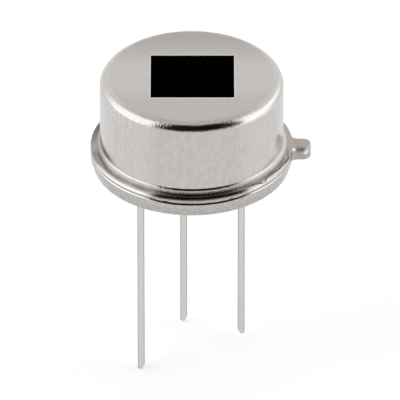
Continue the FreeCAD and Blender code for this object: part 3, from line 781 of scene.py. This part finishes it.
def can_tone(graph, measures, streaks, on_flat, by_tab):
    """Tone of the plating, on the flat and on the wall, with painted light and shade in some
    zones.
    """
    flat = graph.total(FLAT_TONE, (graph.zone(measures, FLAT_REAR_SHADE), FLAT_REAR_SHADE_TONE),
                       (graph.zone(measures, FLAT_FRONT_SHADE), FLAT_FRONT_SHADE_TONE),
                       (graph.zone(measures, OPENING_HIGHLIGHT), OPENING_HIGHLIGHT_TONE))
    wall = graph.total(WALL_TONE, (graph.zone(measures, LIT_FLANKS), LIT_FLANK_TONE),
                       (graph.minus(streaks, 0.5), STREAK_TONE),
                       (graph.zone(measures, DARK_REFLECTION), DARK_REFLECTION_TONE),
                       (graph.zone(measures, SHOULDER_HIGHLIGHT), SHOULDER_HIGHLIGHT_TONE),
                       (graph.zone(measures, DARK_LEFT_FOOT), DARK_LEFT_FOOT_TONE),
                       (by_tab, BY_TAB_LIGHT_TONE))
    return graph.total(graph.product(flat, on_flat), (wall, graph.minus(1.0, on_flat)))


def can_material():
    """Satin plating with drawing streaks, and painted highlights, sheen, shade and a dark
    reflection.
    """
    material, graph = new_material("can_steel")
    measures = can_measures(graph)
    streaks = graph.noise(*STREAKS)
    grain = graph.total(graph.product(streaks, 0.5), (graph.noise(*CAN_GRAIN), 0.5))
    on_flat = graph.zone(measures, CAN_FLAT)
    by_tab = graph.zone(measures, WALL_BY_TAB)
    colour = graph.scaled(graph.grained(grain, SOFT_SPAN, CAN_COLOURS),
                          can_tone(graph, measures, streaks, on_flat, by_tab))
    rough = graph.total(PLATE_ROUGHNESS, (grain, GRAIN_ROUGHNESS), (on_flat, FLAT_ROUGHNESS),
                        (by_tab, BY_TAB_ROUGHNESS),
                        (graph.zone(measures, FOOT_SIDES), FOOT_ROUGHNESS),
                        (graph.zone(measures, FLANGE_SIDE), FLANGE_ROUGHNESS))
    gain = graph.total(1.0, (graph.zone(measures, RIPPLED), RIPPLED_GAIN),
                       (graph.zone(measures, CALM), CALM_GAIN))
    relief = graph.product(graph.total(graph.noise(*RIPPLE), (grain, CAN_GRAIN_HEIGHT)), gain)
    graph.principled(Base_Color=colour, Metallic=1.0, Roughness=rough,
                     Normal=graph.bump(relief, *CAN_RELIEF))
    return material


def header_measures(graph):
    """What the header's zones go by.

    Apart from x, y and z, aside is how far a place is to the left or right of the rim
    line's middle, line is its height as if the line were level, and seam is its
    distance from the wavy seam.
    """
    measures = graph.split(graph.place())
    x, y, z = measures.values()
    measures["aside"] = graph.away(x, RIM_LINE_MIDDLE)
    rise = graph.product(graph.smooth(measures["aside"], *RIM_LINE_SIDES), RIM_LINE_RISE)
    measures["line"] = graph.minus(z, rise)
    sway = graph.product(graph.minus(graph.noise(*SEAM_WAVE), 0.5), SEAM_SWAY)
    measures["seam"] = graph.away(graph.minus(graph.length(x, y), SEAM_RADIUS), sway)
    return measures


def flat_colour(graph, measures, on_tab):
    """Colour of the header's flat, browned by heat and paler at the tab."""
    colour = graph.grained(graph.noise(*BLOTCHES), STEEP_SPAN, BROWN_COLOURS)
    rear_left = graph.zone(measures, REAR_LEFT)
    colour = graph.tinted(colour, rear_left, REAR_LEFT_SHARE, REAR_LEFT_COLOUR)
    by_tab = graph.zone(measures, RIM_BY_TAB)
    colour = graph.tinted(colour, by_tab, BY_TAB_SHARE, BY_TAB_COLOUR)
    return graph.tinted(colour, on_tab, TAB_SHARE, TAB_COLOUR)


def with_tab_highlights(graph, colour):
    """Colour with painted highlights on the tab and at its foot."""
    place = graph.place()
    for spot, size in TAB_HIGHLIGHTS:
        apart = graph.node("ShaderNodeVectorMath", operation="DISTANCE")
        graph.link(place, apart.inputs[0])
        apart.inputs[1].default_value = spot
        near = graph.smooth(apart.outputs["Value"], size, size / 2)
        colour = graph.mix(near, colour, SPOT_HIGHLIGHT_COLOUR)
    return colour


def lined(graph, measures, colour, on_tab):
    """Colour with painted shade in the rim's line, painted highlights beside it and the seam."""
    edges = graph.math("ADD", graph.zone(measures, GLINT_ABOVE), graph.zone(measures, GLINT_BELOW))
    glint = graph.product(edges, graph.zone(measures, GLINT_SIDES))
    share = graph.total(GLINT_SHARE, (graph.zone(measures, GLINT_RIGHT), GLINT_RIGHT_SHARE))
    colour = graph.tinted(colour, glint, share, GLINT_COLOUR)
    share = graph.minus(LINE_SHADE_SHARE, on_tab)
    colour = graph.tinted(colour, graph.zone(measures, LINE_SHADE), share, LINE_SHADE_COLOUR)
    return graph.tinted(colour, graph.zone(measures, SEAM), SEAM_SHARE, SEAM_COLOUR)


def header_material():
    """Satin plating, browned by heat round the can's foot, duller on the tab and below."""
    material, graph = new_material("header_steel")
    measures = header_measures(graph)
    grain = graph.noise(*HEADER_GRAIN)
    on_flat = graph.zone(measures, HEADER_FLAT)
    on_tab = graph.zone(measures, ON_TAB)
    side = graph.mix(graph.zone(measures, ON_BODY), graph.grained(grain, SOFT_SPAN, RIM_COLOURS),
                     graph.grained(grain, STEEP_SPAN, BODY_COLOURS))
    colour = graph.mix(on_flat, side, flat_colour(graph, measures, on_tab))
    colour = lined(graph, measures, with_tab_highlights(graph, colour), on_tab)
    rough = graph.total(PLATE_ROUGHNESS, (grain, GRAIN_ROUGHNESS), (on_tab, TAB_ROUGHNESS))
    relief = graph.product(graph.total(graph.noise(*RIPPLE), (grain, HEADER_GRAIN_HEIGHT)),
                           graph.total(1.0, (on_flat, FLAT_GAIN)))
    graph.principled(Base_Color=colour, Metallic=1.0, Roughness=rough,
                     Normal=graph.bump(relief, *HEADER_RELIEF))
    return material


def wire_material():
    """Pale satin wire, with painted shade on its flanks."""
    material, graph = new_material("lead_wire")
    grain = graph.noise(*WIRE_GRAIN)
    normal = graph.split(graph.node("ShaderNodeNewGeometry").outputs["Normal"])
    flank = graph.smooth(graph.away(normal["x"], 0.0), *WIRE_FLANKS)
    colour = graph.mix(flank, graph.mix(grain, *WIRE_COLOURS), WIRE_FLANK_SHADE_COLOUR)
    graph.principled(Base_Color=colour, Metallic=1.0, Roughness=WIRE_ROUGHNESS,
                     Normal=graph.bump(grain, *WIRE_RELIEF))
    return material


def filter_material():
    """Black coated filter without gloss."""
    material, graph = new_material("filter_black")
    colour = graph.mix(graph.noise(*FILTER_GRAIN), *FILTER_COLOURS)
    graph.principled(Base_Color=colour, Roughness=FILTER_ROUGHNESS, Specular_IOR_Level=0.0)
    return material


def inner_material(name, dark, light, metallic, roughness, grains):
    """Grained colour between two tones, with a fine relief."""
    material, graph = new_material(name)
    grain = graph.noise((grains, grains, grains), *INNER_DETAIL)
    colour = graph.grained(grain, SOFT_SPAN, ((*dark, 1), (*light, 1)))
    rough = graph.total(roughness, (grain, INNER_GRAIN_ROUGHNESS))
    graph.principled(Base_Color=colour, Metallic=metallic, Roughness=rough,
                     Normal=graph.bump(grain, *INNER_RELIEF))
    return material


def floor_material():
    """Pale floor, clear from below."""
    material, graph = new_material("floor_white")
    matt = graph.node("ShaderNodeBsdfDiffuse")
    matt.inputs["Color"].default_value = FLOOR_COLOUR
    seen = graph.node("ShaderNodeLightPath").outputs["Is Camera Ray"]
    glow = graph.node("ShaderNodeEmission")
    graph.put(glow.inputs["Strength"], graph.total(FLOOR_GLOW, (seen, FLOOR_SEEN_GLOW)))
    both = graph.node("ShaderNodeAddShader")
    graph.link(matt.outputs[0], both.inputs[0])
    graph.link(glow.outputs[0], both.inputs[1])
    sides = graph.node("ShaderNodeMixShader")
    graph.link(graph.node("ShaderNodeNewGeometry").outputs["Backfacing"], sides.inputs[0])
    graph.link(both.outputs[0], sides.inputs[1])
    graph.link(graph.node("ShaderNodeBsdfTransparent").outputs[0], sides.inputs[2])
    output = graph.node("ShaderNodeOutputMaterial")
    graph.link(sides.outputs[0], output.inputs["Surface"])
    return material


def make_floor():
    """Pale floor under the tips of the leads."""
    low, _ = box_mm("ground_lead")
    level = low.z - FLOOR_GAP
    mesh = bpy.data.meshes.new("floor")
    mesh.from_pydata([point(x * FLOOR_REACH, y * FLOOR_REACH, level)
                      for x, y in ((-1, -1), (1, -1), (1, 1), (-1, 1))], [], [(0, 1, 2, 3)])
    floor = bpy.data.objects.new("floor", mesh)
    bpy.context.scene.collection.objects.link(floor)
    mesh.materials.append(floor_material())


def studio_measures(graph):
    """What the studio's zones go by.

    Apart from x, y and z, elevation is an angle above the horizon, facing is 1 towards
    the dark patch and -1 away from it, and off_beam is an angle from the beam's middle.
    """
    measures = graph.split(graph.node("ShaderNodeTexCoord").outputs["Generated"])
    x, y, z = measures.values()
    elevation = graph.product(graph.math("ARCSINE", z), math.degrees(1))
    turn = math.radians(DARK_AZIMUTH)
    ahead = graph.total(graph.product(x, math.sin(turn)), (y, -math.cos(turn)))
    facing = graph.math("DIVIDE", ahead, graph.math("MAXIMUM", graph.length(x, y), LEAST_LENGTH))
    beam = graph.total(BEAM_ELEVATION, (facing, BEAM_CLIMB), (x, BEAM_SINK))
    measures.update(elevation=elevation, facing=facing, off_beam=graph.away(elevation, beam))
    return measures


def make_world():
    """White studio all round, with a beam beside a dark patch on the camera's side."""
    world = bpy.data.worlds.new("studio")
    bpy.context.scene.world = world
    world.use_nodes = True
    graph = Graph(world.node_tree)
    measures = studio_measures(graph)
    colour = WHITE
    for bounds, tint in ((REAR, REAR_COLOUR), (HIGH, HIGH_COLOUR), (BEAM, BEAM_COLOUR),
                         (DARK, DARK_COLOUR)):
        colour = graph.mix(graph.zone(measures, bounds), colour, tint)
    seen = graph.node("ShaderNodeLightPath").outputs["Is Camera Ray"]
    background = graph.node("ShaderNodeBackground")
    graph.link(graph.mix(seen, colour, WHITE), background.inputs["Color"])
    output = graph.node("ShaderNodeOutputWorld")
    graph.link(background.outputs[0], output.inputs["Surface"])


def make_camera():
    """Camera in front, looking down on the sensor."""
    data = bpy.data.cameras.new("camera")
    data.sensor_width = SENSOR_WIDTH
    data.lens = SENSOR_WIDTH * VIEW_DISTANCE / VIEW_WIDTH
    data.clip_start = NEAREST_SEEN * MM
    data.clip_end = FARTHEST_SEEN * MM
    camera = bpy.data.objects.new("camera", data)
    bpy.context.scene.collection.objects.link(camera)
    tilt = math.radians(VIEW_ELEVATION)
    back = Vector((0, -math.cos(tilt), math.sin(tilt)))
    camera.location = (Vector(VIEW_AIM) + back * VIEW_DISTANCE) * MM
    camera.rotation_euler = (math.radians(90 - VIEW_ELEVATION), 0, 0)
    bpy.context.scene.camera = camera


def dress_node(node, material):
    """Give a CAD node its material."""
    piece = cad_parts[node]
    piece.data.materials.clear()
    piece.data.materials.append(material)


make_can(can_material())
make_header(header_material())
wire = wire_material()
for lead in ("drain", "source", "ground"):
    dress_node(f"{lead}_lead", wire)
dress_node("filter_window", filter_material())
inner = {name: inner_material(name, *look) for name, look in INNER_LOOKS.items()}
for node, name in INNER_PIECES.items():
    dress_node(node, inner[name])
make_floor()
make_world()
make_camera()
bpy.context.scene.view_settings.view_transform = "Standard"
